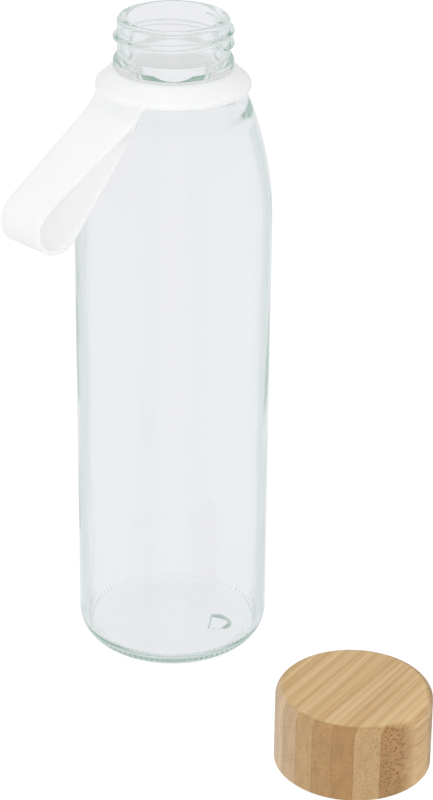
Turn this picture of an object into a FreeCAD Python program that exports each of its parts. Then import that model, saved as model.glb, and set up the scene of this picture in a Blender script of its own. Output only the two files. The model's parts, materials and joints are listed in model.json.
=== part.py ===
"""Half-litre glass water bottle with a silicone carrying strap and a bamboo screw cap.

The origin is the centre of the bearing ring under the bottle, +Z is the bottle's axis and points to
the mouth. The bottle stands open: its cap stands on the table beside it, with the open side down.
"""
import FreeCAD, Part
import Sketcher
import math
import os

SHEET = "Dim"
STRIP_COUNT = 8
THREAD_SECTIONS_PER_TURN = 24
THREAD_FADE = 40.0  # degrees over which a thread rises from the wall at each end
THREAD_ROOT_DEPTH = 0.4  # how far a thread's foot reaches into its wall
THREAD_SUNK = 0.1  # how far its crest lies under the wall's face at each end

# Driving dimensions: alias, value (millimetres, degrees or counts), meaning.
DIMENSIONS = [
    ("axis_line", "0", "coordinate of the bottle's axis and of the table"),
    ("body_radius", "32.5", "outside of the straight body"),
    ("wall", "2.8", "side wall thickness"),
    ("heel_radius", "9.8", "rounding between the side and the base"),
    ("body_top", "155.4", "height where the shoulder starts"),
    ("shoulder_radius", "110", "radius of the shoulder curve"),
    ("shoulder_sweep", "21.2", "angle that the shoulder curve turns through"),
    ("land_height", "199.0", "height of the shoulder's top edge"),
    ("groove_radius", "17.8", "neck in the groove that holds the strap"),
    ("groove_fillet", "1.2", "inner corner of that groove"),
    ("groove_floor", "200.3", "floor of the groove beside the neck"),
    ("bead_radius", "19.4", "transfer bead"),
    ("bead_low", "207.7", "underside of the bead"),
    ("bead_fillet", "0.8", "lower edge of the bead"),
    ("bead_edge", "210.3", "top of the bead's straight side"),
    ("bead_top", "212.3", "where the bead's slope meets the finish"),
    ("finish_radius", "18.0", "finish wall between the threads"),
    ("rim_height", "224.0", "top of the rim"),
    ("rim_outer_fillet", "1.3", "outer edge of the rim"),
    ("rim_inner_fillet", "1.2", "inner edge of the rim"),
    ("mouth_radius", "14.6", "inside of the mouth"),
    ("neck_entry_angle", "43", "slope of the wall below the neck, from the axis"),
    ("neck_entry_radius", "5", "rounding at the bottom of the neck bore"),
    ("inner_sweep", "18.9", "angle that the inner shoulder curve turns through"),
    ("bearing_inner", "21.0", "inner edge of the bearing ring"),
    ("push_up_radius", "10.0", "flat middle of the recess under the base"),
    ("push_up_height", "0.8", "depth of that recess"),
    ("floor_edge", "5.0", "inside floor beside its corner"),
    ("floor_centre", "5.2", "inside floor at the axis"),
    ("floor_corner", "3.6", "inner corner between the floor and the side"),
    ("knurl_count", "96", "short grooves round the heel"),
    ("knurl_width", "0.9", "width of one groove"),
    ("knurl_depth", "0.35", "depth of one groove, across the glass"),
    ("knurl_low_turn", "48", "lower end of a groove, as an angle round the heel's curve from its foot"),
    ("knurl_high_turn", "64", "upper end of a groove, as the same angle"),
    ("notch_near", "13.1", "straight edge of the index notch under the base"),
    ("notch_far", "15.4", "centre of the notch's round end"),
    ("notch_radius", "5.5", "round end of the notch and half its width"),
    ("notch_top", "2.6", "roof of the notch"),
    ("notch_azimuth", "-7", "direction of the notch from the axis"),
    ("thread_pitch", "4.233", "six threads per inch"),
    ("thread_turns", "1.3", "length of each thread"),
    ("neck_thread_start", "214.9", "height where the neck thread starts"),
    ("neck_thread_azimuth", "-43", "direction where the neck thread starts"),
    ("thread_height", "1.4", "height of a thread"),
    ("thread_foot", "2.2", "width of a thread at its foot"),
    ("thread_crest", "0.7", "width of a thread at its crest"),
    ("running_gap", "0.05", "clearance between faces that move past each other"),
    ("collar_radius", "25.2", "largest radius of the collar"),
    ("collar_belly", "201.8", "height of that radius"),
    ("collar_edge_radius", "1.8", "rounding there"),
    ("collar_foot_radius", "21.6", "lower outer edge of the collar"),
    ("collar_foot", "199.62", "height of that edge"),
    ("collar_foot_slope", "49.5", "turn of the rounding from its widest place down to the lower flank"),
    ("collar_top_radius", "19.9", "upper outer edge of the collar's flat top"),
    ("loop_azimuth", "224", "direction in which the loop hangs"),
    ("loop_width", "20.5", "width of the band"),
    ("band_thickness", "2.0", "thickness of the band"),
    ("loop_root_x", "27.9", "pivot of the loop, from the bottle's axis"),
    ("loop_root_z", "196.65", "height of the pivot"),
    ("loop_root_radius", "2.4", "round end at the pivot"),
    ("loop_end_x", "56.6", "centre of the turn, from the bottle's axis"),
    ("loop_end_z", "169.6", "height of that centre"),
    ("loop_end_radius", "8.4", "outside of the turn"),
    ("loop_eye_radius", "0.4", "narrow end of the opening"),
    ("cap_x", "60.0", "cap on the table"),
    ("cap_y", "-81.9", "cap on the table"),
    ("cap_grain_azimuth", "57", "direction of the bamboo's fibres"),
    ("cap_radius", "25.4", "outside of the cap"),
    ("cap_height", "26.6", "height of the cap"),
    ("cap_top_fillet", "3.4", "rounding of the upper edge"),
    ("cap_foot_chamfer", "0.4", "broken lower edge"),
    ("strip_width", "6.6", "width of one bamboo strip"),
    ("strip_offset", "-0.3", "distance of the middle joint from the cap's axis"),
    ("insert_radius", "22.0", "outside of the thread cup and its bore in the wood"),
    ("insert_bore", "19.75", "inside of the thread cup"),
    ("insert_foot", "0.6", "lower edge of the cup above the wood's lower face"),
    ("insert_roof", "1.5", "roof of the cup"),
    ("insert_depth", "17.4", "height of the cup's inner roof"),
    ("insert_thread_start", "5.6", "height where the cup's thread starts"),
    ("gasket_thickness", "1.5", "sealing ring"),
    ("gasket_inner", "12.5", "inside of the sealing ring"),
]

# Dimensions that follow from the driving ones.
DERIVED = [
    ("bearing_outer", "=body_radius - heel_radius"),
    ("knurl_root", "=heel_radius - knurl_depth"),
    ("knurl_clear", "=heel_radius + knurl_depth"),
    ("knurl_low_x", "=bearing_outer + knurl_root * sin(knurl_low_turn * 1 deg)"),
    ("knurl_low_z", "=heel_radius - knurl_root * cos(knurl_low_turn * 1 deg)"),
    ("knurl_high_x", "=bearing_outer + knurl_root * sin(knurl_high_turn * 1 deg)"),
    ("knurl_high_z", "=heel_radius - knurl_root * cos(knurl_high_turn * 1 deg)"),
    ("knurl_high_open_x", "=bearing_outer + knurl_clear * sin(knurl_high_turn * 1 deg)"),
    ("knurl_high_open_z", "=heel_radius - knurl_clear * cos(knurl_high_turn * 1 deg)"),
    ("knurl_low_open_x", "=bearing_outer + knurl_clear * sin(knurl_low_turn * 1 deg)"),
    ("knurl_low_open_z", "=heel_radius - knurl_clear * cos(knurl_low_turn * 1 deg)"),
    ("shoulder_top_radius", "=body_radius - shoulder_radius * (1 - cos(shoulder_sweep * 1 deg))"),
    ("shoulder_top", "=body_top + shoulder_radius * sin(shoulder_sweep * 1 deg)"),
    ("land_radius", "=shoulder_top_radius - (land_height - shoulder_top) * tan(shoulder_sweep * 1 deg)"),
    ("groove_edge", "=groove_radius + groove_fillet"),
    ("groove_wall_foot", "=groove_floor + groove_fillet"),
    ("bead_under", "=bead_radius - bead_fillet"),
    ("bead_side_foot", "=bead_low + bead_fillet"),
    ("rim_outer_start", "=rim_height - rim_outer_fillet"),
    ("rim_outer_flat", "=finish_radius - rim_outer_fillet"),
    ("rim_inner_flat", "=mouth_radius + rim_inner_fillet"),
    ("rim_inner_start", "=rim_height - rim_inner_fillet"),
    ("inner_radius", "=body_radius - wall"),
    ("inner_curve", "=shoulder_radius - wall"),
    ("inner_top_radius", "=inner_radius - inner_curve * (1 - cos(inner_sweep * 1 deg))"),
    ("inner_top", "=body_top + inner_curve * sin(inner_sweep * 1 deg)"),
    ("entry_radius", "=mouth_radius + neck_entry_radius * (1 - cos(neck_entry_angle * 1 deg))"),
    ("entry_height", "=inner_top + (inner_top_radius - entry_radius) / tan(neck_entry_angle * 1 deg)"),
    ("bore_foot", "=entry_height + neck_entry_radius * sin(neck_entry_angle * 1 deg)"),
    ("floor_side", "=floor_edge + floor_corner"),
    ("floor_flat", "=inner_radius - floor_corner"),
    ("collar_bore", "=groove_radius + running_gap"),
    ("collar_top", "=bead_low - running_gap"),
    ("collar_seat", "=groove_wall_foot + running_gap"),
    ("collar_seat_edge", "=groove_edge + running_gap"),
    ("collar_floor", "=groove_floor + running_gap"),
    ("collar_edge_centre", "=collar_radius - collar_edge_radius"),
    ("collar_flank_x", "=collar_edge_centre + collar_edge_radius * cos(collar_foot_slope * 1 deg)"),
    ("collar_flank_z", "=collar_belly - collar_edge_radius * sin(collar_foot_slope * 1 deg)"),
    ("collar_rise", "=collar_top - collar_belly"),
    ("collar_run", "=collar_edge_centre - collar_top_radius"),
    ("collar_cone_span", "=sqrt(collar_rise * collar_rise + collar_run * collar_run)"),
    ("collar_cone_lean", "=acos(collar_edge_radius / collar_cone_span)"),
    ("collar_cone_turn", "=180 deg - atan(collar_rise / collar_run) - collar_cone_lean"),
    ("collar_cone_x", "=collar_edge_centre + collar_edge_radius * cos(collar_cone_turn)"),
    ("collar_cone_z", "=collar_belly + collar_edge_radius * sin(collar_cone_turn)"),
    ("loop_fall", "=atan((loop_root_z - loop_end_z) / (loop_end_x - loop_root_x))"),
    ("loop_span", "=(loop_end_x - loop_root_x) / cos(loop_fall)"),
    ("loop_flare", "=asin((loop_end_radius - loop_root_radius) / loop_span)"),
    ("loop_inside", "=loop_end_radius - band_thickness"),
    ("loop_eye_span", "=(loop_inside - loop_eye_radius) / sin(loop_flare)"),
    ("loop_eye_x", "=loop_end_x - loop_eye_span * cos(loop_fall)"),
    ("loop_eye_z", "=loop_end_z + loop_eye_span * sin(loop_fall)"),
    ("cap_shoulder", "=cap_height - cap_top_fillet"),
    ("cap_top_flat", "=cap_radius - cap_top_fillet"),
    ("cap_foot_radius", "=cap_radius - cap_foot_chamfer"),
    ("socket_depth", "=insert_depth + insert_roof"),
    ("gasket_outer", "=insert_bore - running_gap"),
    ("gasket_foot", "=insert_depth - running_gap - gasket_thickness"),
]


def make_sheet(doc):
    """Put every dimension in the spreadsheet, each under its alias."""
    sheet = doc.addObject("Spreadsheet::Sheet", SHEET)
    rows = DIMENSIONS + [(alias, formula, "follows from the others") for alias, formula in DERIVED]
    for row, (alias, content, meaning) in enumerate(rows, start=1):
        sheet.set("A%d" % row, alias)
        sheet.set("B%d" % row, content)
        sheet.setAlias("B%d" % row, alias)
        sheet.set("C%d" % row, meaning)
    doc.recompute()
    return sheet


def size(sheet, alias):
    """Return the value of a cell as a plain number."""
    value = sheet.get(alias)
    return float(getattr(value, "Value", value))


def make_body(doc, label):
    body = doc.addObject("PartDesign::Body", label)
    body.Label = label
    return body


def make_sketch(body, name, role):
    """Start a sketch on one of the body's own origin planes."""
    sketch = body.newObject("Sketcher::SketchObject", name)
    plane = next(feature for feature in body.Origin.OriginFeatures if feature.Role == role)
    sketch.AttachmentSupport = [(plane, "")]
    sketch.MapMode = "FlatFace"
    return sketch


def constrain(sketch, name, alias, constraint):
    """Add a dimension to the sketch and bind it to a cell."""
    number = sketch.addConstraint(constraint)
    sketch.renameConstraint(number, name)
    sketch.setExpression("Constraints." + name, SHEET + "." + alias)


def bend(start, end, radius, clockwise):
    """Make the short arc of the given radius from start to end."""
    chord = end - start
    reach = math.sqrt(radius ** 2 - (chord.Length / 2) ** 2)
    left = FreeCAD.Vector(-chord.y, chord.x, 0).normalize()
    centre = (start + end) * 0.5 + left * (-reach if clockwise else reach)
    first = math.atan2(start.y - centre.y, start.x - centre.x)
    last = math.atan2(end.y - centre.y, end.x - centre.x)
    if clockwise:
        first, last = last, first
    return Part.ArcOfCircle(Part.Circle(centre, FreeCAD.Vector(0, 0, 1), radius), first, last)


def draw_outline(sketch, sheet, outline):
    """Draw a closed outline whose points and radii are all bound to the sheet.

    Each entry is (x alias, y alias, stretch). The stretch leaves the point: None is a line, and
    (radius alias, clockwise) is an arc.
    """
    points = [FreeCAD.Vector(size(sheet, x), size(sheet, y), 0) for x, y, _ in outline]
    edges = []
    for index, (_, _, arc) in enumerate(outline):
        start, end = points[index], points[(index + 1) % len(points)]
        if arc is None:
            edge = sketch.addGeometry(Part.LineSegment(start, end), False)
        else:
            edge = sketch.addGeometry(bend(start, end, size(sheet, arc[0]), arc[1]), False)
        reverse = arc is not None and arc[1]
        edges.append((edge, 2, 1) if reverse else (edge, 1, 2))
    for index, (x, y, arc) in enumerate(outline):
        edge, first, last = edges[index]
        follower, follower_start, _ = edges[(index + 1) % len(edges)]
        sketch.addConstraint(Sketcher.Constraint("Coincident", edge, last, follower, follower_start))
        for kind, alias in (("DistanceX", x), ("DistanceY", y)):
            value = Sketcher.Constraint(kind, edge, first, size(sheet, alias))
            constrain(sketch, "%s_%d" % (kind, index), alias, value)
        if arc is not None:
            value = Sketcher.Constraint("Radius", edge, size(sheet, arc[0]))
            constrain(sketch, "bend_%d" % index, arc[0], value)


def revolve(body, sheet, name, outline):
    """Turn an outline in the XZ plane round the body's Z axis."""
    sketch = make_sketch(body, name + "_outline", "XZ_Plane")
    draw_outline(sketch, sheet, outline)
    revolution = body.newObject("PartDesign::Revolution", name)
    revolution.Profile = sketch
    revolution.ReferenceAxis = (sketch, ["V_Axis"])
    revolution.Angle = 360
    return revolution


def cut_up(body, sketch, name, depth_alias):
    """Cut from the sketch upwards."""
    pocket = body.newObject("PartDesign::Pocket", name)
    pocket.Profile = sketch
    pocket.Reversed = True
    pocket.setExpression("Length", SHEET + "." + depth_alias)
    return pocket


def glass_outline():
    """Section of the glass, from the middle of its underside, up the outside and down the inside."""
    underside = [
        ("axis_line", "push_up_height", None),
        ("push_up_radius", "push_up_height", None),
        ("bearing_inner", "axis_line", None),
        ("bearing_outer", "axis_line", ("heel_radius", False)),
    ]
    outside = [
        ("body_radius", "heel_radius", None),
        ("body_radius", "body_top", ("shoulder_radius", False)),
        ("shoulder_top_radius", "shoulder_top", None),
        ("land_radius", "land_height", None),
        ("groove_edge", "groove_floor", ("groove_fillet", True)),
        ("groove_radius", "groove_wall_foot", None),
        ("groove_radius", "bead_low", None),
        ("bead_under", "bead_low", ("bead_fillet", False)),
        ("bead_radius", "bead_side_foot", None),
        ("bead_radius", "bead_edge", None),
        ("finish_radius", "bead_top", None),
        ("finish_radius", "rim_outer_start", ("rim_outer_fillet", False)),
        ("rim_outer_flat", "rim_height", None),
    ]
    inside = [
        ("rim_inner_flat", "rim_height", ("rim_inner_fillet", False)),
        ("mouth_radius", "rim_inner_start", None),
        ("mouth_radius", "bore_foot", ("neck_entry_radius", False)),
        ("entry_radius", "entry_height", None),
        ("inner_top_radius", "inner_top", ("inner_curve", True)),
        ("inner_radius", "body_top", None),
        ("inner_radius", "floor_side", ("floor_corner", True)),
        ("floor_flat", "floor_edge", None),
        ("axis_line", "floor_centre", None),
    ]
    return underside + outside + inside


def cut_knurl(body, sheet):
    """Cut the ring of short grooves round the heel."""
    sketch = make_sketch(body, "knurl_outline", "XZ_Plane")
    draw_outline(sketch, sheet, [
        ("knurl_low_open_x", "knurl_low_open_z", None),
        ("knurl_high_open_x", "knurl_high_open_z", None),
        ("knurl_high_x", "knurl_high_z", None),
        ("knurl_low_x", "knurl_low_z", None),
    ])
    groove = body.newObject("PartDesign::Pocket", "knurl_groove")
    groove.Profile = sketch
    groove.SideType = "Symmetric"
    groove.setExpression("Length", SHEET + ".knurl_width")
    ring = body.newObject("PartDesign::PolarPattern", "knurl_ring")
    ring.Originals = [groove]
    ring.Axis = (sketch, ["V_Axis"])
    ring.Angle = 360
    ring.setExpression("Occurrences", SHEET + ".knurl_count")
    body.Tip = ring


def cut_notch(body, sheet):
    """Cut the index notch under the base: a straight inner edge and a round outer end."""
    sketch = make_sketch(body, "notch_outline", "XY_Plane")
    upright = FreeCAD.Rotation(FreeCAD.Vector(0, 0, 1), 1)
    sketch.AttachmentOffset = FreeCAD.Placement(FreeCAD.Vector(), upright)
    sketch.setExpression("AttachmentOffset.Rotation.Angle", SHEET + ".notch_azimuth")
    near, far = size(sheet, "notch_near"), size(sheet, "notch_far")
    radius = size(sheet, "notch_radius")
    point = FreeCAD.Vector
    sketch.addGeometry(Part.LineSegment(point(near, radius, 0), point(near, -radius, 0)), False)
    sketch.addGeometry(Part.LineSegment(point(near, -radius, 0), point(far, -radius, 0)), False)
    circle = Part.Circle(point(far, 0, 0), point(0, 0, 1), radius)
    sketch.addGeometry(Part.ArcOfCircle(circle, -math.pi / 2, math.pi / 2), False)
    sketch.addGeometry(Part.LineSegment(point(far, radius, 0), point(near, radius, 0)), False)
    sketch.addConstraint(Sketcher.Constraint("Coincident", 0, 2, 1, 1))
    sketch.addConstraint(Sketcher.Constraint("Tangent", 1, 2, 2, 1))
    sketch.addConstraint(Sketcher.Constraint("Tangent", 2, 2, 3, 1))
    sketch.addConstraint(Sketcher.Constraint("Coincident", 3, 2, 0, 1))
    sketch.addConstraint(Sketcher.Constraint("Vertical", 0))
    sketch.addConstraint(Sketcher.Constraint("Horizontal", 1))
    sketch.addConstraint(Sketcher.Constraint("PointOnObject", 2, 3, -1))
    constrain(sketch, "near", "notch_near", Sketcher.Constraint("DistanceX", 0, 1, near))
    constrain(sketch, "far", "notch_far", Sketcher.Constraint("DistanceX", 2, 3, far))
    constrain(sketch, "round_end", "notch_radius", Sketcher.Constraint("Radius", 2, radius))
    cut_up(body, sketch, "index_notch", "notch_top")


def thread_ridge(doc, sheet, name, wall_alias, start_alias, azimuth, outward):
    """Loft a right-handed thread that rises out of its wall at one end and sinks back at the other."""
    turn = 360.0 * size(sheet, "thread_turns")
    steps = round(THREAD_SECTIONS_PER_TURN * size(sheet, "thread_turns"))
    wall = size(sheet, wall_alias)
    side = 1 if outward else -1
    foot, crest = size(sheet, "thread_foot") / 2, size(sheet, "thread_crest") / 2
    rise = size(sheet, "thread_height") + THREAD_SUNK
    sections = []
    for step in range(steps + 1):
        turned = turn * step / steps
        share = min(1.0, turned / THREAD_FADE, (turn - turned) / THREAD_FADE)
        tip = wall + side * (rise * math.sin(share * math.pi / 2) - THREAD_SUNK)
        root = wall - side * THREAD_ROOT_DEPTH
        height = size(sheet, start_alias) + size(sheet, "thread_pitch") * turned / 360.0
        angle = math.radians(azimuth + turned)
        section = [
            FreeCAD.Vector(radius * math.cos(angle), radius * math.sin(angle), height + offset)
            for radius, offset in ((root, -foot), (tip, -crest), (tip, crest), (root, foot))
        ]
        sections.append(Part.makePolygon(section + section[:1]))
    ridge = doc.addObject("Part::Feature", name)
    ridge.Shape = Part.makeLoft(sections, True, False)
    return ridge


def fuse(doc, label, shapes):
    joined = doc.addObject("Part::MultiFuse", label)
    joined.Label = label
    joined.Shapes = shapes
    return joined


def glass_bottle(doc, sheet):
    wall = make_body(doc, "glass_wall")
    revolve(wall, sheet, "glass_turning", glass_outline())
    cut_notch(wall, sheet)
    cut_knurl(wall, sheet)
    azimuth = size(sheet, "neck_thread_azimuth")
    ridge = thread_ridge(doc, sheet, "neck_thread", "finish_radius", "neck_thread_start", azimuth, True)
    return fuse(doc, "glass_bottle", [wall, ridge])


def strap_collar(doc, sheet):
    body = make_body(doc, "strap_collar")
    revolve(body, sheet, "collar_turning", [
        ("collar_bore", "collar_seat", None),
        ("collar_seat_edge", "collar_floor", None),
        ("collar_foot_radius", "collar_foot", None),
        ("collar_flank_x", "collar_flank_z", ("collar_edge_radius", False)),
        ("collar_cone_x", "collar_cone_z", None),
        ("collar_top_radius", "collar_top", None),
        ("collar_bore", "collar_top", None),
    ])
    return body


def draw_teardrop(sketch, sheet, prefix, small, large):
    """Draw two arcs and their two outer tangents. small and large are (x, y, radius) aliases."""
    fall = math.radians(size(sheet, "loop_fall"))
    flare = math.radians(size(sheet, "loop_flare"))
    upper = math.pi / 2 - fall + flare
    lower = -math.pi / 2 - fall - flare
    arcs = []
    for (x, y, radius), first, last in ((small, upper, lower), (large, lower, upper)):
        centre = FreeCAD.Vector(size(sheet, x), size(sheet, y), 0)
        circle = Part.Circle(centre, FreeCAD.Vector(0, 0, 1), size(sheet, radius))
        arcs.append(Part.ArcOfCircle(circle, first, last))
    near, far = (sketch.addGeometry(arc, False) for arc in arcs)
    below = sketch.addGeometry(Part.LineSegment(arcs[0].EndPoint, arcs[1].StartPoint), False)
    above = sketch.addGeometry(Part.LineSegment(arcs[1].EndPoint, arcs[0].StartPoint), False)
    for first, first_end, last, last_end in (
        (near, 2, below, 1), (below, 2, far, 1), (far, 2, above, 1), (above, 2, near, 1),
    ):
        sketch.addConstraint(Sketcher.Constraint("Tangent", first, first_end, last, last_end))
    for end, edge, (x, y, radius) in (("near", near, small), ("far", far, large)):
        name = "%s_%s_" % (prefix, end)
        constrain(sketch, name + "x", x, Sketcher.Constraint("DistanceX", edge, 3, size(sheet, x)))
        constrain(sketch, name + "y", y, Sketcher.Constraint("DistanceY", edge, 3, size(sheet, y)))
        constrain(sketch, name + "radius", radius, Sketcher.Constraint("Radius", edge, size(sheet, radius)))


def strap_loop(doc, sheet):
    """The band folded on itself: a teardrop with a teardrop opening, as wide as the band."""
    body = make_body(doc, "strap_loop")
    sketch = make_sketch(body, "loop_outline", "XZ_Plane")
    draw_teardrop(sketch, sheet, "outside", ("loop_root_x", "loop_root_z", "loop_root_radius"),
                  ("loop_end_x", "loop_end_z", "loop_end_radius"))
    draw_teardrop(sketch, sheet, "opening", ("loop_eye_x", "loop_eye_z", "loop_eye_radius"),
                  ("loop_end_x", "loop_end_z", "loop_inside"))
    band = body.newObject("PartDesign::Pad", "loop_band")
    band.Profile = sketch
    band.SideType = "Symmetric"
    band.setExpression("Length", SHEET + ".loop_width")
    body.setExpression("Placement.Rotation.Angle", SHEET + ".loop_azimuth")
    return body


def stand_on_table(piece):
    """Put a piece of the cap, made round the origin, where the cap stands."""
    piece.Placement = FreeCAD.Placement(FreeCAD.Vector(), FreeCAD.Rotation(FreeCAD.Vector(0, 0, 1), 1))
    piece.setExpression("Placement.Base.x", SHEET + ".cap_x")
    piece.setExpression("Placement.Base.y", SHEET + ".cap_y")
    piece.setExpression("Placement.Rotation.Angle", SHEET + ".cap_grain_azimuth - 90")
    return piece


def cap_insert(doc, sheet):
    """The plastic cup with the cap's thread, which is glued into the bamboo."""
    cup = make_body(doc, "thread_cup")
    revolve(cup, sheet, "cup_turning", [
        ("axis_line", "insert_depth", None),
        ("insert_bore", "insert_depth", None),
        ("insert_bore", "insert_foot", None),
        ("insert_radius", "insert_foot", None),
        ("insert_radius", "socket_depth", None),
        ("axis_line", "socket_depth", None),
    ])
    ridge = thread_ridge(doc, sheet, "cup_thread", "insert_bore", "insert_thread_start", 0, False)
    return stand_on_table(fuse(doc, "cap_insert", [cup, ridge]))


def cap_gasket(doc, sheet):
    """The flat silicone ring under the cup's roof."""
    cylinders = []
    for name, alias in (("gasket_disc", "gasket_outer"), ("gasket_hole", "gasket_inner")):
        cylinder = doc.addObject("Part::Cylinder", name)
        cylinder.setExpression("Radius", SHEET + "." + alias)
        cylinder.setExpression("Height", SHEET + ".gasket_thickness")
        cylinder.setExpression("Placement.Base.z", SHEET + ".gasket_foot")
        cylinders.append(cylinder)
    ring = doc.addObject("Part::Cut", "cap_gasket")
    ring.Label = "cap_gasket"
    ring.Base, ring.Tool = cylinders
    return stand_on_table(ring)


def bamboo_strips(doc, sheet):
    """Turn the cap's wooden body and divide it into the glued strips it is made of."""
    blank = make_body(doc, "cap_blank")
    revolve(blank, sheet, "cap_turning", [
        ("axis_line", "socket_depth", None),
        ("insert_radius", "socket_depth", None),
        ("insert_radius", "axis_line", None),
        ("cap_foot_radius", "axis_line", None),
        ("cap_radius", "cap_foot_chamfer", None),
        ("cap_radius", "cap_shoulder", ("cap_top_fillet", False)),
        ("cap_top_flat", "cap_height", None),
        ("axis_line", "cap_height", None),
    ])
    strips = []
    for index in range(STRIP_COUNT):
        slab = doc.addObject("Part::Box", "slab_%d" % (index + 1))
        slab.setExpression("Length", SHEET + ".strip_width")
        slab.setExpression("Width", "2 * %s.cap_radius" % SHEET)
        slab.setExpression("Height", SHEET + ".cap_height")
        shift = "%s.strip_offset + %d * %s.strip_width" % (SHEET, index - STRIP_COUNT // 2, SHEET)
        slab.setExpression("Placement.Base.x", shift)
        slab.setExpression("Placement.Base.y", "0 - %s.cap_radius" % SHEET)
        label = "bamboo_strip_%d" % (index + 1)
        strip = doc.addObject("Part::Common", label)
        strip.Label = label
        strip.Base = blank
        strip.Tool = slab
        strips.append(stand_on_table(strip))
    return strips


def check(doc, pieces):
    """Stop with a plain message if a feature failed or a piece has no valid solid."""
    for item in doc.Objects:
        if "Invalid" in item.State or "Error" in item.State:
            raise RuntimeError("%s failed: %s" % (item.Label, item.State))
    for piece in pieces:
        shape = piece.Shape
        if shape.isNull() or not shape.isValid() or len(shape.Solids) != 1:
            raise RuntimeError("%s is not one valid solid" % piece.Label)


def main():
    doc = FreeCAD.newDocument("glass_water_bottle")
    sheet = make_sheet(doc)
    pieces = [glass_bottle(doc, sheet), strap_collar(doc, sheet), strap_loop(doc, sheet)]
    pieces += [cap_insert(doc, sheet), cap_gasket(doc, sheet)] + bamboo_strips(doc, sheet)
    doc.recompute()
    check(doc, pieces)
    os.makedirs("parts", exist_ok=True)
    for piece in pieces:
        piece.Shape.exportStep("parts/%s.step" % piece.Label)


main()
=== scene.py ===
"""Looks of an open half-litre glass bottle with a silicone strap and a bamboo cap beside it.

Lengths are in metres in the CAD frame: the bottle stands on z = 0 and its axis is the Z axis.
"""
import json
import math

import bmesh
import bpy
import numpy as np
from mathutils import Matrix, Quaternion, Vector


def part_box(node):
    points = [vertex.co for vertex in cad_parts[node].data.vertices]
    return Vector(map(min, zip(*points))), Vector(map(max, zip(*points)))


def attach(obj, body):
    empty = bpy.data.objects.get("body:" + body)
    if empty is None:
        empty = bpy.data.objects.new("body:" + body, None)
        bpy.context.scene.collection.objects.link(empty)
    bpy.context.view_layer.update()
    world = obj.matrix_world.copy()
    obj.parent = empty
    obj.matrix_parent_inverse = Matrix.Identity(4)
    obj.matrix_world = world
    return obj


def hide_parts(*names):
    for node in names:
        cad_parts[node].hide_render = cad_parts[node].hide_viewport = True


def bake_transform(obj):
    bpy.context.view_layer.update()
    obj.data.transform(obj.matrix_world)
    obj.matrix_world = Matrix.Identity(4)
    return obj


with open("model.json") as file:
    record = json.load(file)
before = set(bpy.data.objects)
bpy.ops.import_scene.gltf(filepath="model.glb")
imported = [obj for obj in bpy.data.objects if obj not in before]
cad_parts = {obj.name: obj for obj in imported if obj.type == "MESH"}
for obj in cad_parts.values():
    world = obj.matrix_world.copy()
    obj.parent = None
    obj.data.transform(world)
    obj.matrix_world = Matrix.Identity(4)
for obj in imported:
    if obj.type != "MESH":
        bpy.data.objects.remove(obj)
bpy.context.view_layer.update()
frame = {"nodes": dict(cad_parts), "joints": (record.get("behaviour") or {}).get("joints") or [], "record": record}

MM = 0.001
MOUNTS = {mount["name"]: mount for mount in frame["record"]["mounts"]}
JOINTS = {joint["name"]: joint for joint in frame["joints"]}

# The glass, in millimetres.
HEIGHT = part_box("glass_bottle")[1].z / MM
BODY_RADIUS = MOUNTS["body_side"]["dims"]["r_mm"]
MOUTH_RADIUS = MOUNTS["mouth"]["dims"]["r_mm"]
WALL = 2.8
HEEL_RADIUS = 9.8
HEEL_CENTRE = BODY_RADIUS - HEEL_RADIUS
BODY_TOP = MOUNTS["body_side"]["pos_m"][2] / MM + MOUNTS["body_side"]["dims"]["length_mm"] / 2
SHOULDER_RADIUS = 110.0
SHOULDER_SWEEP = math.radians(21.2)
INNER_SWEEP = math.radians(18.9)
SHOULDER_CENTRE = (BODY_RADIUS - SHOULDER_RADIUS, BODY_TOP)
LAND_HEIGHT = 199.0
GROOVE_RADIUS, GROOVE_FLOOR, GROOVE_FILLET = 17.8, 200.3, 1.2
BEAD_RADIUS, BEAD_FILLET, BEAD_CREST = 19.4, 0.8, 0.5
BEAD_LOW, BEAD_EDGE, BEAD_TOP = 207.7, 210.3, 212.3
FINISH_RADIUS = 18.0
RIM_ROUNDING = 1.3
ENTRY_RADIUS, ENTRY_ANGLE = 5.0, 43.0
PUSH_UP_HEIGHT = 0.8
PUSH_UP_RADIUS = 10.0
PUSH_UP_STEPS = 50
BEARING_INNER = 21.0
FLOOR_EDGE, FLOOR_CENTRE, FLOOR_CORNER = 5.0, 5.2, 3.6
KNURL_COUNT = 96
KNURL_DEPTH = 0.3
KNURL_INNER, KNURL_OUTER = 29.9, 31.5
KNURL_FADE_IN, KNURL_FADE_OUT = 0.3, 0.2
NOTCH_NEAR, NOTCH_FAR, NOTCH_RADIUS, NOTCH_ROOF = 13.1, 15.4, 5.5, 2.6
NOTCH_AZIMUTH = math.radians(-7)
NOTCH_SLOPE, NOTCH_STEP = 1.2, 0.35
THREAD_PITCH, THREAD_TURNS = 4.233, 1.3
THREAD_START, THREAD_AZIMUTH = 214.9, math.radians(-43)
THREAD_HEIGHT, THREAD_FOOT, THREAD_CREST = 1.4, 2.2, 0.7
THREAD_SOFTENING = 0.15
THREAD_FADE = math.radians(40)
GLASS_SEGMENTS = KNURL_COUNT * 4

# The strap, in millimetres and degrees: the band narrows from its root to the turn where it folds back.
BAND_THICKNESS = 1.7
ROOT_WIDTH, ROOT_REACH = 22.8, 25.0
TURN_WIDTH, TURN_REACH = 18.6, 57.0
TURN_CENTRE, TURN_RADIUS = (57.1, 169.2), 8.65
TOP_FALL, RETURN_CLIMB = 31.4, 50.8
COLLAR_SEGMENTS = 192
MELT_GRAIN, MELT_ROUNDS = 0.30, 20

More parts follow.
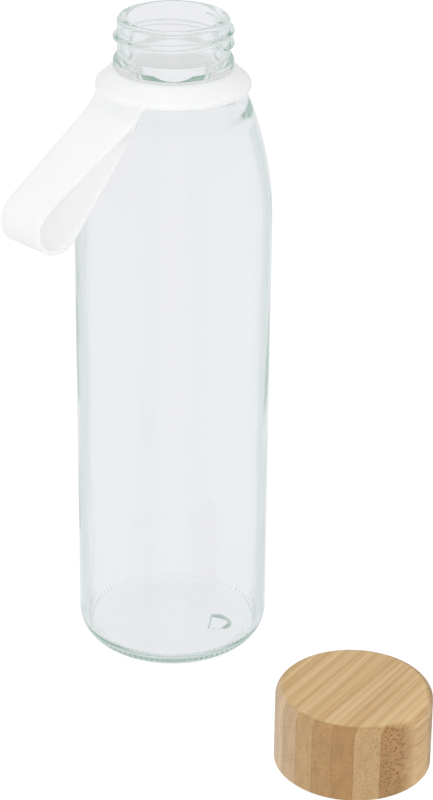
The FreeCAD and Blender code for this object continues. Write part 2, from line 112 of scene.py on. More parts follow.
# The bamboo strips, in millimetres: the grain's turn, and where and how wide the strips are.
# Each strip has its end grain's colour and, from 0 to 1, how coarse its bundles are; the pink of strips 1 and 2
# holds a painted sheen as well as their tone.
GRAIN_TURN = math.radians(-33)
STRIP_WIDTH, STRIP_OFFSET = 6.6, -0.3
# Painted sheen: the pink end colour of strips 1 and 2 is lightened to stand in for the sheen that their ends
# catch.
PINK_WITH_PAINTED_SHEEN, PALE, STRAW, TAN, HONEY = (
    (0.74, 0.54, 0.345), (0.61, 0.42, 0.25), (0.53, 0.345, 0.16), (0.475, 0.28, 0.118), (0.44, 0.25, 0.098))
STRIP_ENDS = [
    (PINK_WITH_PAINTED_SHEEN, 0.0), (PINK_WITH_PAINTED_SHEEN, 0.0), (PALE, 0.1), (STRAW, 0.1),
    (TAN, 0.2), (HONEY, 0.1), (STRAW, 0.2), (HONEY, 1.0)]

# The studio: how bright the backdrop is to the eye, the panels are in the glass, and the daylight is.
# The table's paint returns a share of the lamps' light, so its own glow is that much lower.
BACKDROP, PALE_PANEL, DAYLIGHT = 1.04, 0.86, 0.65
LAMP_SHARE = 0.12
LIGHT_BOUNCES = 48


# ---------------------------------------------------------------- meshes

def arc(centre, radius, first, last, steps):
    """Points on an arc in a section, from angle first to angle last, in degrees."""
    angles = np.radians(np.linspace(first, last, steps + 1))
    return [(centre[0] + radius * math.cos(a), centre[1] + radius * math.sin(a)) for a in angles]


def line(start, end, steps):
    """Points from start towards end, without the end."""
    return [
        (start[0] + (end[0] - start[0]) * step / steps, start[1] + (end[1] - start[1]) * step / steps)
        for step in range(steps)
    ]


def make_mesh(name, vertices, faces, material, smooth=True):
    """Make a mesh object in the shared frame from millimetre points."""
    mesh = bpy.data.meshes.new(name)
    mesh.from_pydata([tuple(c * MM for c in vertex) for vertex in vertices], [], faces)
    mesh.validate()
    mesh.polygons.foreach_set("use_smooth", [smooth] * len(mesh.polygons))
    mesh.materials.append(material)
    piece = bpy.data.objects.new(name, mesh)
    bpy.context.scene.collection.objects.link(piece)
    return piece


def ring_faces(rows, segments):
    """Quads between neighbouring rings of a turned mesh."""
    faces = []
    for row in range(rows - 1):
        here, there = row * segments, (row + 1) * segments
        for step in range(segments):
            after = (step + 1) % segments
            faces.append((here + step, here + after, there + after, there + step))
    return faces


def smoothstep(share):
    """An even rise from 0 to 1 with soft ends."""
    share = np.clip(share, 0.0, 1.0)
    return share * share * (3 - 2 * share)


# ---------------------------------------------------------------- the glass

def underside():
    """Outline under the base, from the middle of its recess to the foot of the heel."""
    outline = line((0.0, PUSH_UP_HEIGHT), (PUSH_UP_RADIUS, PUSH_UP_HEIGHT), 4)
    for step in range(PUSH_UP_STEPS):
        share = step / PUSH_UP_STEPS
        reach = PUSH_UP_RADIUS + (BEARING_INNER - PUSH_UP_RADIUS) * share
        outline.append((reach, PUSH_UP_HEIGHT * (1 - float(smoothstep(share)))))
    return outline + line((BEARING_INNER, 0.0), (HEEL_CENTRE, 0.0), 4)


def outside_wall():
    """Outline of the outside, from the heel up the side and over the shoulder to the strap's groove."""
    shoulder = arc(SHOULDER_CENTRE, SHOULDER_RADIUS, 0, math.degrees(SHOULDER_SWEEP), 26)
    top_radius, top_height = shoulder[-1]
    land = (top_radius - (LAND_HEIGHT - top_height) * math.tan(SHOULDER_SWEEP), LAND_HEIGHT)
    outline = arc((HEEL_CENTRE, HEEL_RADIUS), HEEL_RADIUS, -90, 0, 45)
    outline += line((BODY_RADIUS, HEEL_RADIUS), (BODY_RADIUS, BODY_TOP), 12)[1:]
    outline += shoulder
    outline += line(shoulder[-1], land, 2)[1:]
    return outline + line(land, (GROOVE_RADIUS + GROOVE_FILLET, GROOVE_FLOOR), 4)


def neck_wall():
    """Outline of the neck's outside: the groove, the bead above it and the wall that carries the thread."""
    groove_edge, bead_under = GROOVE_RADIUS + GROOVE_FILLET, BEAD_RADIUS - BEAD_FILLET
    outline = arc((groove_edge, GROOVE_FLOOR + GROOVE_FILLET), GROOVE_FILLET, 270, 180, 6)
    outline += line((GROOVE_RADIUS, BEAD_LOW - 3.0), (GROOVE_RADIUS, BEAD_LOW), 3)
    outline += line((GROOVE_RADIUS, BEAD_LOW), (bead_under, BEAD_LOW), 2)
    outline += arc((bead_under, BEAD_LOW + BEAD_FILLET), BEAD_FILLET, -90, 0, 6)
    outline += arc((BEAD_RADIUS - BEAD_CREST, BEAD_EDGE - 0.2), BEAD_CREST, 0, 55, 4)
    outline += line((FINISH_RADIUS + 0.2, BEAD_TOP - 0.25), (FINISH_RADIUS, BEAD_TOP), 1)
    return outline + line((FINISH_RADIUS, BEAD_TOP), (FINISH_RADIUS, HEIGHT - RIM_ROUNDING), 52)


def rim():
    """Outline over the fire-polished rim, from the outside to the bore."""
    outline = arc((FINISH_RADIUS - RIM_ROUNDING, HEIGHT - RIM_ROUNDING), RIM_ROUNDING, 0, 90, 8)
    return outline + arc((MOUTH_RADIUS + RIM_ROUNDING, HEIGHT - RIM_ROUNDING), RIM_ROUNDING, 90, 180, 8)


def inside_wall():
    """Outline of the inside, from the bore down to the middle of the floor."""
    shoulder = arc(SHOULDER_CENTRE, SHOULDER_RADIUS - WALL, math.degrees(INNER_SWEEP), 0, 26)
    slant = math.radians(ENTRY_ANGLE)
    foot_radius = MOUTH_RADIUS + ENTRY_RADIUS * (1 - math.cos(slant))
    foot_height = shoulder[0][1] + (shoulder[0][0] - foot_radius) / math.tan(slant)
    bore_foot = foot_height + ENTRY_RADIUS * math.sin(slant)
    side = BODY_RADIUS - WALL
    floor_reach, corner_height = side - FLOOR_CORNER, FLOOR_EDGE + FLOOR_CORNER
    outline = line((MOUTH_RADIUS, HEIGHT - RIM_ROUNDING), (MOUTH_RADIUS, bore_foot), 8)[1:]
    outline += arc((MOUTH_RADIUS + ENTRY_RADIUS, bore_foot), ENTRY_RADIUS, 180, 180 + ENTRY_ANGLE, 10)
    outline += line((foot_radius, foot_height), shoulder[0], 5)[1:]
    outline += shoulder
    outline += line((side, BODY_TOP), (side, corner_height), 12)[1:]
    outline += arc((floor_reach, corner_height), FLOOR_CORNER, 0, -90, 24)
    outline += line((floor_reach, FLOOR_EDGE), (0.0, FLOOR_CENTRE), 12)[1:]
    return outline + [(0.0, FLOOR_CENTRE)]


def glass_section():
    """Outline of the glass from its underside, up the outside and down the inside."""
    return np.array(underside() + outside_wall() + neck_wall() + rim() + inside_wall())


def thread_rise(azimuth, height):
    """How far the thread stands out of the neck at a place on it."""
    rise = np.zeros(np.broadcast(azimuth, height).shape)
    full = 2 * math.pi * THREAD_TURNS
    for turn in range(3):
        along = (azimuth - THREAD_AZIMUTH) % (2 * math.pi) + 2 * math.pi * turn
        ridge = THREAD_START + THREAD_PITCH * along / (2 * math.pi)
        fade = smoothstep(np.minimum(along, full - along) / THREAD_FADE)
        flank = (THREAD_FOOT - THREAD_CREST) / 2
        inward = THREAD_FOOT / 2 + THREAD_SOFTENING - np.abs(height - ridge)
        side = smoothstep(inward / (flank + 2 * THREAD_SOFTENING))
        rise = np.maximum(rise, THREAD_HEIGHT * fade * side)
    return rise


def knurl_depth(radius, azimuth):
    """Depth of the knurl's short grooves, which lie round the foot of the heel."""
    inner = smoothstep((radius - KNURL_INNER) / KNURL_FADE_IN)
    outer = smoothstep((KNURL_OUTER - radius) / KNURL_FADE_OUT)
    return KNURL_DEPTH * inner * outer * smoothstep(np.cos(azimuth * KNURL_COUNT) + 0.5)


def notch_share(x, y):
    """How far a place on the underside lies inside the index notch, from 0 to 1."""
    along = x * math.cos(NOTCH_AZIMUTH) + y * math.sin(NOTCH_AZIMUTH)
    across = y * math.cos(NOTCH_AZIMUTH) - x * math.sin(NOTCH_AZIMUTH)
    outside = np.hypot(np.maximum(along - NOTCH_FAR, 0.0), across) - NOTCH_RADIUS
    return smoothstep(-outside / NOTCH_SLOPE) * smoothstep((along - NOTCH_NEAR) / NOTCH_STEP)


def glass_bottle(material):
    """Turn the section, and give the neck its thread and the base its knurl and notch."""
    section = glass_section()
    azimuth = np.arange(GLASS_SEGMENTS) * 2 * math.pi / GLASS_SEGMENTS
    rings = section[1:-1]
    radius = np.repeat(rings[:, :1], GLASS_SEGMENTS, axis=1)
    height = np.repeat(rings[:, 1:], GLASS_SEGMENTS, axis=1)
    outside = np.zeros(len(rings), bool)
    outside[: int(np.argmax(rings[:, 1] >= HEIGHT - 1e-6))] = True
    neck = (outside & (rings[:, 1] > BEAD_EDGE) & (rings[:, 0] > FINISH_RADIUS - 1e-6))[:, None]
    radius = np.where(neck, radius + thread_rise(azimuth[None, :], height), radius)
    groove = np.where((outside & (rings[:, 1] < HEEL_RADIUS))[:, None], knurl_depth(radius, azimuth), 0.0)
    radius, height = (
        radius - groove * (radius - HEEL_CENTRE) / HEEL_RADIUS,
        height + groove * (HEEL_RADIUS - height) / HEEL_RADIUS)
    x, y = radius * np.cos(azimuth), radius * np.sin(azimuth)
    under = (outside & (rings[:, 1] < PUSH_UP_HEIGHT + 1e-6) & (rings[:, 0] < BEARING_INNER + 0.5))[:, None]
    height = np.where(under, height + (NOTCH_ROOF - height) * notch_share(x, y), height)
    vertices = np.stack([x, y, height], axis=-1).reshape(-1, 3).tolist()
    faces = ring_faces(len(rings), GLASS_SEGMENTS)
    low, high = len(vertices), len(vertices) + 1
    vertices += [(0.0, 0.0, section[0, 1]), (0.0, 0.0, section[-1, 1])]
    last = (len(rings) - 1) * GLASS_SEGMENTS
    for step in range(GLASS_SEGMENTS):
        after = (step + 1) % GLASS_SEGMENTS
        faces.append((low, after, step))
        faces.append((high, last + step, last + after))
    return make_mesh("bottle_glass", vertices, faces, material)


# ---------------------------------------------------------------- the silicone strap

def collar_mesh(mesh):
    """Add the collar's turned ring to a bmesh."""
    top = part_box("strap_collar")[1].z / MM - 0.15
    bore, belly, edge = GROOVE_RADIUS + 0.4, (23.4, 201.8), 1.8
    section = [(bore, 201.9), (19.3, 200.75), (21.7, 199.9)]
    section += arc(belly, edge, -42, 50, 14)
    section += [(21.9, 205.55), (20.4, 207.05), (19.7, top), (bore + 0.6, top), (bore, top - 0.6)]
    rows = []
    for radius, height in section:
        ring = []
        for step in range(COLLAR_SEGMENTS):
            angle = 2 * math.pi * step / COLLAR_SEGMENTS
            place = (radius * math.cos(angle), radius * math.sin(angle), height)
            ring.append(mesh.verts.new(Vector(place) * MM))
        rows.append(ring)
    for row, ring in enumerate(rows):
        above = rows[(row + 1) % len(rows)]
        for step in range(COLLAR_SEGMENTS):
            after = (step + 1) % COLLAR_SEGMENTS
            mesh.faces.new((ring[step], ring[after], above[after], above[step]))


def band_path():
    """Middle line of the folded band in its own plane: out along the top, round the turn and back."""
    bend = arc(TURN_CENTRE, TURN_RADIUS - BAND_THICKNESS / 2, 90 - TOP_FALL, -90 - RETURN_CLIMB, 40)
    top_start, return_end = [
        (reach, end[1] + math.tan(math.radians(slope)) * (end[0] - reach))
        for reach, end, slope in ((25.6, bend[0], TOP_FALL), (27.0, bend[-1], RETURN_CLIMB))]
    path = [(21.0, 202.7), (22.6, 201.6), (24.1, 200.25)]
    path += line(top_start, bend[0], 40) + bend + line(bend[-1], return_end, 30)[1:]
    return path + [return_end, (26.45, 195.0), (25.9, 196.7), (25.3, 198.5), (24.6, 200.0), (22.6, 202.4)]


def smooth_path(path, rounds):
    """Even out a path's corners without moving its ends."""
    points = np.array(path)
    for _ in range(rounds):
        points[1:-1] = 0.25 * points[:-2] + 0.5 * points[1:-1] + 0.25 * points[2:]
    return points


def resample(points, spacing):
    """Points at an even spacing along a path."""
    steps = np.hypot(*np.diff(points, axis=0).T)
    travelled = np.concatenate([[0.0], np.cumsum(steps)])
    wanted = np.linspace(0.0, travelled[-1], int(travelled[-1] / spacing))
    return np.stack([np.interp(wanted, travelled, points[:, axis]) for axis in (0, 1)], axis=-1)


def band_mesh(mesh, outward, across):
    """Add the folded band to a bmesh: a rounded strip swept along its path."""
    path = smooth_path(resample(np.array(band_path()), 0.8), 12)
    tangents = np.gradient(path, axis=0)
    tangents /= np.linalg.norm(tangents, axis=1)[:, None]
    rounding = BAND_THICKNESS / 2 * 0.82
    corners = []
    for side, up, first in ((1, 1, 0), (-1, 1, 90), (-1, -1, 180), (1, -1, 270)):
        centre = (side, up * (BAND_THICKNESS / 2 - rounding))
        corners += [(centre, angle) for angle in np.radians(np.linspace(first, first + 90, 5))]
    rings = []
    for (reach, height), (run, climb) in zip(path, tangents):
        share = min(max((reach - ROOT_REACH) / (TURN_REACH - ROOT_REACH), 0.0), 1.0)
        half = (ROOT_WIDTH + (TURN_WIDTH - ROOT_WIDTH) * share) / 2 - rounding
        thinned = 1.0 if run > 0 else 1.0 - 0.4 * float(smoothstep((34.0 - reach) / 6.0))
        ring = []
        for (side, up), angle in corners:
            sideways = side * half + rounding * math.cos(angle)
            lift = (up + rounding * math.sin(angle)) * thinned
            place = outward * (reach - climb * lift) + across * sideways
            ring.append(mesh.verts.new((place + Vector((0, 0, height + run * lift))) * MM))
        rings.append(ring)
    for ring, following in zip(rings, rings[1:]):
        for step in range(len(ring)):
            after = (step + 1) % len(ring)
            mesh.faces.new((ring[step], ring[after], following[after], following[step]))
    mesh.faces.new(rings[0])
    mesh.faces.new(list(reversed(rings[-1])))


def apply_modifiers(piece):
    """Replace the piece's mesh with the result of its modifiers."""
    bpy.context.view_layer.update()
    graph = bpy.context.evaluated_depsgraph_get()
    result = bpy.data.meshes.new_from_object(piece.evaluated_get(graph))
    piece.modifiers.clear()
    piece.data = result
    piece.data.polygons.foreach_set("use_smooth", [True] * len(piece.data.polygons))


def silicone_strap(material):
    """Collar and band moulded in one: both solids are melted together and their joint is rounded."""
    root = Vector(JOINTS["strap_flex"]["pos_m"])
    outward = Vector((root.x, root.y, 0)).normalized()
    across = Vector((-outward.y, outward.x, 0))
    mesh = bmesh.new()
    collar_mesh(mesh)
    band_mesh(mesh, outward, across)
    bmesh.ops.recalc_face_normals(mesh, faces=mesh.faces)
    data = bpy.data.meshes.new("silicone_strap")
    mesh.to_mesh(data)
    mesh.free()
    data.materials.append(material)
    strap = bpy.data.objects.new("silicone_strap", data)
    bpy.context.scene.collection.objects.link(strap)
    melt = strap.modifiers.new("melt", "REMESH")
    melt.mode = "VOXEL"
    melt.voxel_size = MELT_GRAIN * MM
    settle = strap.modifiers.new("settle", "SMOOTH")
    settle.factor = 0.5
    settle.iterations = MELT_ROUNDS
    apply_modifiers(strap)
    strap.data.materials.clear()
    strap.data.materials.append(material)
    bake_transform(strap)
    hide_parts("strap_collar", "strap_loop")


# ---------------------------------------------------------------- materials

def node(tree, kind, inputs=None, **settings):
    """Add a shader node. An input is set from a value, or linked from another node's output."""
    made = tree.nodes.new(kind)
    for name, value in settings.items():
        setattr(made, name, value)
    for name, value in (inputs or {}).items():
        if isinstance(value, bpy.types.NodeSocket):
            tree.links.new(value, made.inputs[name])
        else:
            made.inputs[name].default_value = value
    return made


def start_material(name):
    """A new material with an empty node tree."""
    material = bpy.data.materials.new(name)
    material.use_nodes = True
    material.node_tree.nodes.clear()
    return material, material.node_tree


def ramp(tree, factor, stops):
    """A colour ramp with the given (place, colour) stops."""
    made = node(tree, "ShaderNodeValToRGB", {"Fac": factor})
    elements = made.color_ramp.elements
    while len(elements) < len(stops):
        elements.new(0.5)
    for element, (place, colour) in zip(elements, stops):
        element.position = place
        element.color = (*colour, 1.0)
    return made.outputs["Color"]


def remap(tree, value, low, high, to_low=0.0, to_high=1.0):
    """Carry a value from one range to another, held at the new range's ends."""
    made = node(tree, "ShaderNodeMapRange", {
        "Value": value, "From Min": low, "From Max": high, "To Min": to_low, "To Max": to_high})
    return made.outputs["Result"]


def mix_colour(tree, factor, first, second):
    """The first colour where the factor is 0, the second where it is 1."""
    made = node(tree, "ShaderNodeMix", data_type="RGBA")
    for index, value in ((0, factor), (6, first), (7, second)):
        if isinstance(value, bpy.types.NodeSocket):
            tree.links.new(value, made.inputs[index])
        else:
            made.inputs[index].default_value = value
    return made.outputs[2]


def glass_material():
    """Clear glass with slow ripples from the mould and a green tint that deepens with thickness.

    Rays that have bounced many times inside the wall end on a painted soft green glow instead of black, which
    clears most black specks.
    """
    material, tree = start_material("clear_glass")
    place = node(tree, "ShaderNodeTexCoord").outputs["Object"]
    stretched = node(tree, "ShaderNodeMapping", {"Vector": place, "Scale": (60, 60, 18)}).outputs["Vector"]
    ripple = node(tree, "ShaderNodeTexNoise", {"Vector": stretched, "Scale": 1.0, "Detail": 1.5})
    bump = node(tree, "ShaderNodeBump", {
        "Height": ripple.outputs["Fac"], "Strength": 0.25, "Distance": 0.0012})
    glass = node(tree, "ShaderNodeBsdfPrincipled", {
        "Base Color": (1, 1, 1, 1), "Roughness": 0.0, "IOR": 1.5,
        "Transmission Weight": 1.0, "Normal": bump.outputs["Normal"]})
    clear = node(tree, "ShaderNodeBsdfTransparent", {"Color": (0.93, 0.96, 0.95, 1)})
    path = node(tree, "ShaderNodeLightPath")
    either = node(tree, "ShaderNodeMixShader", {
        "Fac": path.outputs["Is Shadow Ray"], 1: glass.outputs["BSDF"], 2: clear.outputs["BSDF"]})
    # Painted glow: deep rays inside the glass end on a flat green emission, not on light from the room.
    painted_green_glow = node(tree, "ShaderNodeEmission", {"Color": (0.52, 0.62, 0.59, 1), "Strength": 1.0})
    trapped = remap(tree, path.outputs["Ray Depth"], 14.0, 20.0)
    surface = node(tree, "ShaderNodeMixShader", {
        "Fac": trapped, 1: either.outputs["Shader"], 2: painted_green_glow.outputs["Emission"]})
    material.cycles.emission_sampling = "NONE"
    tint = node(tree, "ShaderNodeVolumeAbsorption", {"Color": (0.08, 0.44, 0.22, 1), "Density": 3.4})
    node(tree, "ShaderNodeOutputMaterial", {
        "Surface": surface.outputs["Shader"], "Volume": tint.outputs["Volume"]})
    return material


def silicone_material(name, colour, roughness=0.55):
    """Matte moulded silicone: faint cloudiness, a fine sandblasted skin and a painted glow of its own colour that
    flattens its shading.

    The painted glow is stronger where the silicone is seen through or in the glass, which would otherwise swallow
    its light.
    """
    material, tree = start_material(name)
    place = node(tree, "ShaderNodeTexCoord").outputs["Object"]
    cloud = node(tree, "ShaderNodeTexNoise", {"Vector": place, "Scale": 55.0, "Detail": 3.0})
    darker = tuple(c * 0.965 for c in colour)
    shade = ramp(tree, cloud.outputs["Fac"], [(0.3, darker), (0.7, colour)])
    skin = node(tree, "ShaderNodeTexNoise", {"Vector": place, "Scale": 3200.0, "Detail": 2.0})
    bump = node(tree, "ShaderNodeBump", {
        "Height": skin.outputs["Fac"], "Strength": 0.10, "Distance": 0.00008})
    rough = remap(tree, cloud.outputs["Fac"], 0.3, 0.7, roughness, roughness + 0.1)
    body = node(tree, "ShaderNodeBsdfPrincipled", {
        "Base Color": shade, "Roughness": rough, "IOR": 1.41, "Normal": bump.outputs["Normal"],
        "Subsurface Weight": 1.0, "Subsurface Radius": (1.0, 0.95, 0.9), "Subsurface Scale": 0.004,
        "Sheen Weight": 0.08})
    path = node(tree, "ShaderNodeLightPath")
    inside = node(tree, "ShaderNodeMath", {
        0: path.outputs["Transmission Depth"], 1: path.outputs["Glossy Depth"]}, operation="ADD")
    share = remap(tree, inside.outputs["Value"], 0.0, 1.0, 0.25, 0.75)
    strength = remap(tree, inside.outputs["Value"], 0.0, 1.0, 1.0, 0.80)
    # Painted glow: the silicone emits its own colour, standing in for light in its shaded hollows and through the
    # glass.
    glow = node(tree, "ShaderNodeEmission", {"Color": shade, "Strength": strength})
    soft = node(tree, "ShaderNodeMixShader", {
        "Fac": share, 1: body.outputs["BSDF"], 2: glow.outputs["Emission"]})
    node(tree, "ShaderNodeOutputMaterial", {"Surface": soft.outputs["Shader"]})
    return material


def plastic_material():
    """Natural polypropylene with a fine moulded grain."""
    material, tree = start_material("cap_plastic")
    place = node(tree, "ShaderNodeTexCoord").outputs["Object"]
    cloud = node(tree, "ShaderNodeTexNoise", {"Vector": place, "Scale": 120.0, "Detail": 2.0})
    shade = ramp(tree, cloud.outputs["Fac"], [(0.3, (0.78, 0.78, 0.75)), (0.7, (0.84, 0.84, 0.81))])
    grain = node(tree, "ShaderNodeTexNoise", {"Vector": place, "Scale": 2500.0, "Detail": 1.0})
    bump = node(tree, "ShaderNodeBump", {
        "Height": grain.outputs["Fac"], "Strength": 0.12, "Distance": 0.00006})
    body = node(tree, "ShaderNodeBsdfPrincipled", {
        "Base Color": shade, "Roughness": remap(tree, cloud.outputs["Fac"], 0.3, 0.7, 0.36, 0.46),
        "Normal": bump.outputs["Normal"], "Subsurface Weight": 0.2, "Subsurface Scale": 0.002})
    node(tree, "ShaderNodeOutputMaterial", {"Surface": body.outputs["BSDF"]})
    return material


def strip_places(tree, index):
    """Places in the cap turned to the strips, and the same places moved to one strip's own grain."""
    low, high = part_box("cap_gasket")
    centre = (low + high) / 2
    place = node(tree, "ShaderNodeTexCoord").outputs["Object"]
    moved = node(tree, "ShaderNodeVectorMath", {
        0: place, 1: (centre.x, centre.y, 0)}, operation="SUBTRACT").outputs["Vector"]
    turned = node(tree, "ShaderNodeVectorRotate", {
        "Vector": moved, "Angle": -GRAIN_TURN}).outputs["Vector"]
    grain = node(tree, "ShaderNodeVectorMath", {
        0: turned, 1: (0.0, 0.37 * index, 0.013 * index)}, operation="ADD").outputs["Vector"]
    return turned, grain


def stretched(tree, kind, grain, scale, **inputs):
    """A texture that is drawn out along the fibres."""
    mapped = node(tree, "ShaderNodeMapping", {"Vector": grain, "Scale": scale})
    return node(tree, kind, {"Vector": mapped.outputs["Vector"], "Scale": 1.0, **inputs})


def side_grain(tree, grain, streaks, bands):
    """Straw coloured bamboo in slow bands, with dark fibres along it."""
    lines = stretched(tree, "ShaderNodeTexNoise", grain, (900, 7, 420), Detail=1.0).outputs["Fac"]
    straw = ramp(tree, bands, [
        (0.34, (0.68, 0.45, 0.21)), (0.5, (0.745, 0.51, 0.245)), (0.66, (0.80, 0.58, 0.31))])
    fine = remap(tree, streaks, 0.35, 0.60, 0.26, 0.0)
    straw = mix_colour(tree, fine, straw, (0.42, 0.22, 0.08, 1))
    thin = remap(tree, lines, 0.60, 0.68, 0.0, 0.40)
    return mix_colour(tree, thin, straw, (0.45, 0.22, 0.07, 1))


def end_grain(tree, dots, bands, end_colour, coarse):
    """The cut ends of the fibres: the strip's own tone, with a painted sheen on strips 1 and 2, dotted with dark
    bundles.
    """
    darker, lighter = [tuple(c * level for c in end_colour) + (1.0,) for level in (0.93, 1.07)]
    tone = mix_colour(tree, remap(tree, bands, 0.35, 0.65), darker, lighter)
    strength = node(tree, "ShaderNodeMath", {0: dots, 1: 0.24 + 0.62 * coarse}, operation="MULTIPLY")
    return mix_colour(tree, strength.outputs["Value"], tone, (0.24, 0.11, 0.035, 1))


def end_share(tree):
    """How far a place on the cap faces along the fibres, from 0 on long grain to 1 on end grain."""
    normal = node(tree, "ShaderNodeTexCoord").outputs["Normal"]
    turned = node(tree, "ShaderNodeVectorRotate", {"Vector": normal, "Angle": -GRAIN_TURN})
    facing = node(tree, "ShaderNodeSeparateXYZ", {"Vector": turned.outputs["Vector"]}).outputs["Y"]
    facing = node(tree, "ShaderNodeMath", {0: facing}, operation="ABSOLUTE").outputs["Value"]
    return remap(tree, facing, 0.14, 0.38)


def glue_line(tree, turned, ends):
    """How dark the glue between two strips is at a place. It shows on the end grain only."""
    across = node(tree, "ShaderNodeSeparateXYZ", {"Vector": turned}).outputs["X"]
    offset = node(tree, "ShaderNodeMath", {0: across, 1: STRIP_OFFSET * MM}, operation="SUBTRACT")
    away = node(tree, "ShaderNodeMath", {
        0: offset.outputs["Value"], 1: STRIP_WIDTH * MM / 2}, operation="PINGPONG").outputs["Value"]
    glue = remap(tree, away, 0.0, 0.16 * MM, 0.5, 0.0)
    return node(tree, "ShaderNodeMath", {0: glue, 1: ends}, operation="MULTIPLY").outputs["Value"]


def bamboo_material(index, end_colour, coarse):
    """One strip of bamboo: straw coloured and streaked along its fibres, darker and dotted on its ends.

    end_colour is the colour of the strip's end grain, with a painted sheen in it on strips 1 and 2; coarse, from 0
    to 1, is how bold its bundles are.
    The strip is clear to light that the glass has reflected, so the glass doesn't mirror it.
    """
    material, tree = start_material("bamboo_%d" % index)
    turned, grain = strip_places(tree, index)
    size = 1900 - 500 * coarse
    bundles = stretched(tree, "ShaderNodeTexVoronoi", grain, (size, 45, size * 0.8), Randomness=1.0)
    dots = remap(tree, bundles.outputs["Distance"], 0.20, 0.50, 1.0, 0.0)
    streaks = stretched(tree, "ShaderNodeTexNoise", grain, (1500, 14, 700), Detail=3.0).outputs["Fac"]
    bands = stretched(tree, "ShaderNodeTexNoise", grain, (420, 6, 160), Detail=2.0).outputs["Fac"]
    ends = end_share(tree)
    long_colour = side_grain(tree, grain, streaks, bands)
    cut_colour = end_grain(tree, dots, bands, end_colour, coarse)
    wood = mix_colour(tree, ends, long_colour, cut_colour)
    wood = mix_colour(tree, glue_line(tree, turned, ends), wood, (0.25, 0.13, 0.05, 1))
    bump = node(tree, "ShaderNodeBump", {"Height": dots, "Strength": 0.10, "Distance": 0.0001})
    rough = remap(tree, streaks, 0.3, 0.7, 0.60, 0.46)
    body = node(tree, "ShaderNodeBsdfPrincipled", {
        "Base Color": wood, "Roughness": rough, "IOR": 1.45, "Normal": bump.outputs["Normal"]})
    clear = node(tree, "ShaderNodeBsdfTransparent")
    mirrored = remap(tree, node(tree, "ShaderNodeLightPath").outputs["Glossy Depth"], 0.0, 1.0)
    shown = node(tree, "ShaderNodeMixShader", {
        "Fac": mirrored, 1: body.outputs["BSDF"], 2: clear.outputs["BSDF"]})
    node(tree, "ShaderNodeOutputMaterial", {"Surface": shown.outputs["Shader"]})
    return material


# ---------------------------------------------------------------- the studio

def tint_panel(level):
    """The faintly cool white of the panels."""
    return (level, level, level * 1.04)


def studio_world():
    """A white tent: plain white to the eye, even light on the object, slightly dimmer in the glass."""
    scene = bpy.context.scene
    scene.world = bpy.data.worlds.new("studio")
    scene.world.use_nodes = True
    tree = scene.world.node_tree
    tree.nodes.clear()
    direction = node(tree, "ShaderNodeTexCoord").outputs["Generated"]
    seen = node(tree, "ShaderNodeVectorTransform", {"Vector": direction},
                vector_type="VECTOR", convert_from="WORLD", convert_to="CAMERA")
    depth = node(tree, "ShaderNodeSeparateXYZ", {"Vector": seen.outputs["Vector"]}).outputs["Z"]
    panels = ramp(tree, remap(tree, depth, -1.0, 1.0), [
        (0.0, tint_panel(0.80)), (0.35, tint_panel(0.76)), (0.55, tint_panel(0.76)),
        (0.80, tint_panel(PALE_PANEL))])
    path = node(tree, "ShaderNodeLightPath")
    even = mix_colour(tree, path.outputs["Is Diffuse Ray"], panels, (DAYLIGHT,) * 3 + (1.0,))
    shown = mix_colour(tree, path.outputs["Is Camera Ray"], even, (BACKDROP,) * 3 + (1.0,))
    background = node(tree, "ShaderNodeBackground", {"Color": shown, "Strength": 1.0})
    node(tree, "ShaderNodeOutputWorld", {"Surface": background.outputs["Background"]})


def soft_light(name, place, target, width, power):
    """A large square lamp that lights the object but shows in no reflection."""
    lamp = bpy.data.lights.new(name, "AREA")
    lamp.shape = "SQUARE"
    lamp.size = width
    lamp.energy = power
    holder = bpy.data.objects.new(name, lamp)
    bpy.context.scene.collection.objects.link(holder)
    holder.location = place
    holder.rotation_mode = "QUATERNION"
    holder.rotation_quaternion = (Vector(target) - Vector(place)).to_track_quat("-Z", "Y")
    holder.visible_glossy = False
    holder.visible_transmission = False


def table_in_glass(tree, path):
    """The table's colour where it is seen in the glass: it dims to the sides, like a lit sweep."""
    incoming = node(tree, "ShaderNodeNewGeometry").outputs["Incoming"]
    seen = node(tree, "ShaderNodeVectorTransform", {"Vector": incoming},
                vector_type="VECTOR", convert_from="WORLD", convert_to="CAMERA")
    sideways = node(tree, "ShaderNodeSeparateXYZ", {"Vector": seen.outputs["Vector"]}).outputs["X"]
    sideways = node(tree, "ShaderNodeMath", {0: sideways}, operation="ABSOLUTE").outputs["Value"]
    seen_through = ramp(tree, sideways, [
        (0.25, tint_panel(1.0)), (0.34, (0.80, 0.85, 0.87)), (0.44, (0.48, 0.57, 0.55))])
    reflected = ramp(tree, sideways, [
        (0.20, tint_panel(1.0)), (0.36, (0.74, 0.82, 0.82)), (0.56, (0.80, 0.87, 0.88)),
        (0.78, tint_panel(1.0))])
    bounced = remap(tree, path.outputs["Glossy Depth"], 0.0, 1.0)
    return mix_colour(tree, bounced, seen_through, reflected)


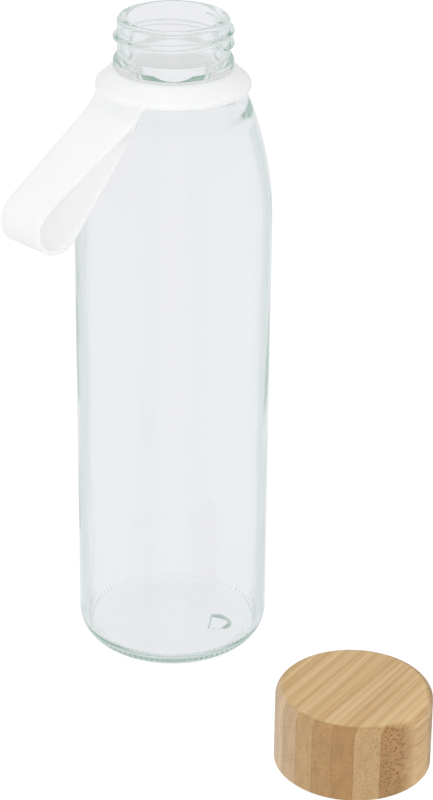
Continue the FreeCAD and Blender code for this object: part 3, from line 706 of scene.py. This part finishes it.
def table():
    """A plain white table: white to the eye, and even in the light it sends to the object."""
    material, tree = start_material("table_white")
    paint = node(tree, "ShaderNodeBsdfDiffuse", {"Color": (0.16, 0.16, 0.16, 1)})
    path = node(tree, "ShaderNodeLightPath")
    in_glass = table_in_glass(tree, path)
    even = mix_colour(tree, path.outputs["Is Diffuse Ray"], in_glass, tint_panel(1.0) + (1.0,))
    strength = remap(tree, path.outputs["Is Camera Ray"], 0.0, 1.0,
                     PALE_PANEL - LAMP_SHARE, BACKDROP - LAMP_SHARE)
    tinted = mix_colour(tree, path.outputs["Is Camera Ray"], even, (1.0, 1.0, 1.0, 1.0))
    glow = node(tree, "ShaderNodeEmission", {"Color": tinted, "Strength": strength})
    both = node(tree, "ShaderNodeAddShader", {0: paint.outputs["BSDF"], 1: glow.outputs["Emission"]})
    node(tree, "ShaderNodeOutputMaterial", {"Surface": both.outputs["Shader"]})
    half, below = 12000.0, -0.05
    corners = [(-half, -half, below), (half, -half, below), (half, half, below), (-half, half, below)]
    make_mesh("table", corners, [(0, 1, 2, 3)], material, smooth=False)


def camera():
    """Look down on the bottle and the cap from the front."""
    elevation, roll = math.radians(25.88), math.radians(0.562)
    target, distance = Vector((0.01477, 0.0, 0.08894)), 0.8821
    lens = bpy.data.cameras.new("camera")
    lens.lens = 117.0
    lens.sensor_width = 36.0
    holder = bpy.data.objects.new("camera", lens)
    bpy.context.scene.collection.objects.link(holder)
    back = Vector((0, -math.cos(elevation), math.sin(elevation)))
    holder.location = target + back * distance
    holder.rotation_mode = "QUATERNION"
    aim = (-back).to_track_quat("-Z", "Y")
    holder.rotation_quaternion = aim @ Quaternion((0, 0, 1), roll)
    bpy.context.scene.camera = holder


def assign(node_name, material):
    """Give a CAD node its material."""
    slots = frame["nodes"][node_name].data.materials
    slots.clear()
    slots.append(material)


def main():
    """Dress the CAD frame: new glass and strap, materials, table, light and camera."""
    bottle = glass_bottle(glass_material())
    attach(bottle, "bottle")
    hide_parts("glass_bottle")
    silicone_strap(silicone_material("white_silicone", (0.965, 0.965, 0.95)))
    assign("cap_gasket", silicone_material("gasket_silicone", (0.80, 0.81, 0.81), roughness=0.4))
    assign("cap_insert", plastic_material())
    for index, (end_colour, coarse) in enumerate(STRIP_ENDS, start=1):
        assign("bamboo_strip_%d" % index, bamboo_material(index, end_colour, coarse))
    table()
    studio_world()
    soft_light("key", (-0.35, -0.25, 1.1), (0, 0, 0.1), 0.8, 1.9)
    soft_light("front", (0.08, -0.95, 0.48), (0, 0, 0.12), 0.5, 2.5)
    camera()
    scene = bpy.context.scene
    scene.view_settings.view_transform = "Standard"
    scene.cycles.max_bounces = LIGHT_BOUNCES
    scene.cycles.transmission_bounces = LIGHT_BOUNCES
    scene.cycles.glossy_bounces = LIGHT_BOUNCES
    scene.cycles.transparent_max_bounces = LIGHT_BOUNCES
    scene.cycles.diffuse_bounces = 8


main()
